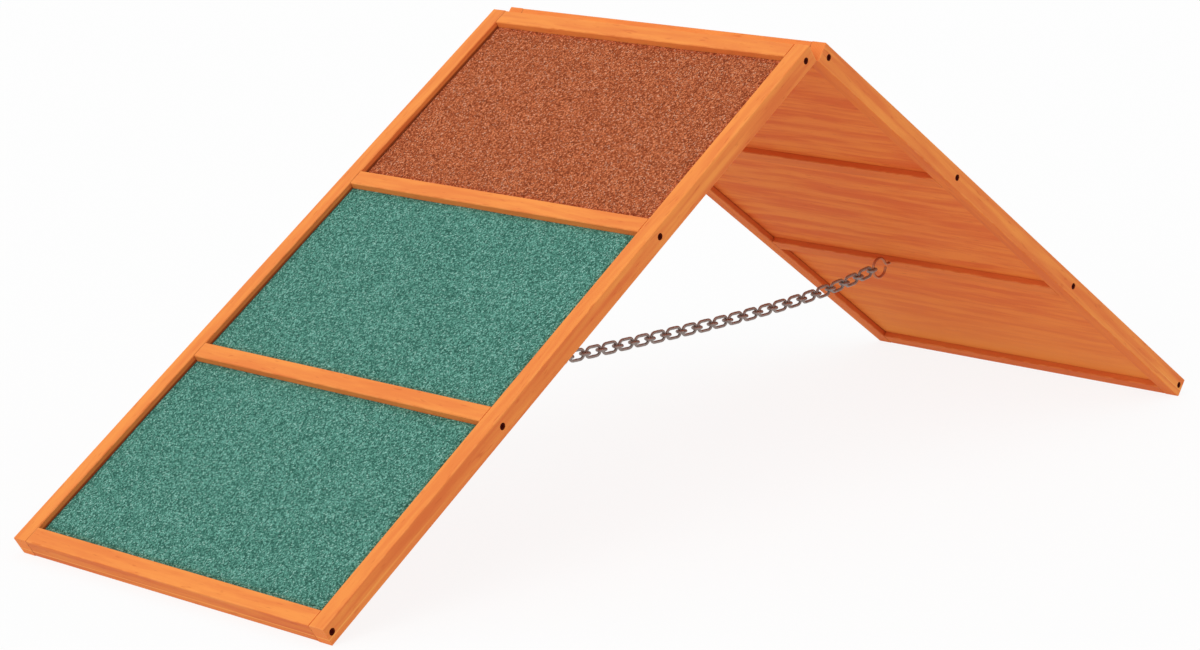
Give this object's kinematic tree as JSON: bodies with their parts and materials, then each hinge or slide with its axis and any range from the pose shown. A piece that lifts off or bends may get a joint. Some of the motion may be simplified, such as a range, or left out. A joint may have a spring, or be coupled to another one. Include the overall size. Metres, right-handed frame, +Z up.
{
  "type": "dog agility ramp",
  "caption": "Free-standing A-shaped walking ramp for dogs: hinged wooden panels with felt treads, and a chain that stops them from spreading.",
  "frame": {"origin": "on the floor, below the ridge and at mid width", "axes": "+X along the ramp from the left foot to the right foot, +Y across it towards the rear, +Z up"},
  "size_m": [1.5784, 0.52, 0.555],
  "materials": {
    "frame_wood": "satin",
    "board_wood": "satin",
    "red_felt": "matte",
    "green_felt": "matte",
    "black_steel": "satin",
    "hinge_steel": "satin",
    "chain_steel": "satin"
  },
  "bodies": {
    "left_panel": {"left_front_rail": "frame_wood", "left_rear_rail": "frame_wood", "left_ridge_batten": "frame_wood", "left_upper_batten": "frame_wood", "left_lower_batten": "frame_wood", "left_foot_batten": "frame_wood", "left_upper_board": "board_wood", "left_middle_board": "board_wood", "left_lower_board": "board_wood", "left_upper_felt": "red_felt", "left_middle_felt": "green_felt", "left_lower_felt": "green_felt", "left_front_ridge_screw": "black_steel", "left_front_upper_screw": "black_steel", "left_front_lower_screw": "black_steel", "left_front_foot_screw": "black_steel", "left_rear_ridge_screw": "black_steel", "left_rear_upper_screw": "black_steel", "left_rear_lower_screw": "black_steel", "left_rear_foot_screw": "black_steel", "front_hinge_left_leaf": "hinge_steel", "front_hinge_pin": "hinge_steel", "rear_hinge_left_leaf": "hinge_steel", "rear_hinge_pin": "hinge_steel", "left_screw_eye": "chain_steel"},
    "right_panel": {"right_front_rail": "frame_wood", "right_rear_rail": "frame_wood", "right_ridge_batten": "frame_wood", "right_upper_batten": "frame_wood", "right_lower_batten": "frame_wood", "right_foot_batten": "frame_wood", "right_upper_board": "board_wood", "right_middle_board": "board_wood", "right_lower_board": "board_wood", "right_upper_felt": "red_felt", "right_middle_felt": "green_felt", "right_lower_felt": "green_felt", "right_front_ridge_screw": "black_steel", "right_front_upper_screw": "black_steel", "right_front_lower_screw": "black_steel", "right_front_foot_screw": "black_steel", "right_rear_ridge_screw": "black_steel", "right_rear_upper_screw": "black_steel", "right_rear_lower_screw": "black_steel", "right_rear_foot_screw": "black_steel", "front_hinge_right_leaf": "hinge_steel", "rear_hinge_right_leaf": "hinge_steel", "right_screw_eye": "chain_steel"},
    "left_chain": {"left_chain_run_1": "chain_steel", "left_chain_run_2": "chain_steel", "left_chain_run_3": "chain_steel", "left_chain_run_4": "chain_steel", "left_chain_run_5": "chain_steel"},
    "right_chain": {"right_chain_run_1": "chain_steel", "right_chain_run_2": "chain_steel", "right_chain_run_3": "chain_steel", "right_chain_run_4": "chain_steel", "right_chain_run_5": "chain_steel"}
  },
  "joints": [
    {"name": "fold", "type": "hinge", "parent": "left_panel", "child": "right_panel", "pos_m": [0, 0, 0.53198], "axis": [0, 1, 0], "range_deg": [0, 104], "deforming": ["left_chain_run_1", "left_chain_run_2", "left_chain_run_3", "left_chain_run_4", "left_chain_run_5", "right_chain_run_1", "right_chain_run_2", "right_chain_run_3", "right_chain_run_4", "right_chain_run_5"]},
    {"name": "left_chain_swing", "type": "hinge", "parent": "left_panel", "child": "left_chain", "pos_m": [-0.48629, 0.032, 0.18031], "axis": [0, 1, 0], "range_deg": [0, 138]},
    {"name": "right_chain_swing", "type": "hinge", "parent": "right_panel", "child": "right_chain", "pos_m": [0.48629, 0.032, 0.18031], "axis": [0, 1, 0], "range_deg": [-138, 0]}
  ],
  "couplings": [
    {"joint": "left_chain_swing", "follows": "fold", "ratio": 1.325},
    {"joint": "right_chain_swing", "follows": "fold", "ratio": -1.325}
  ]
}
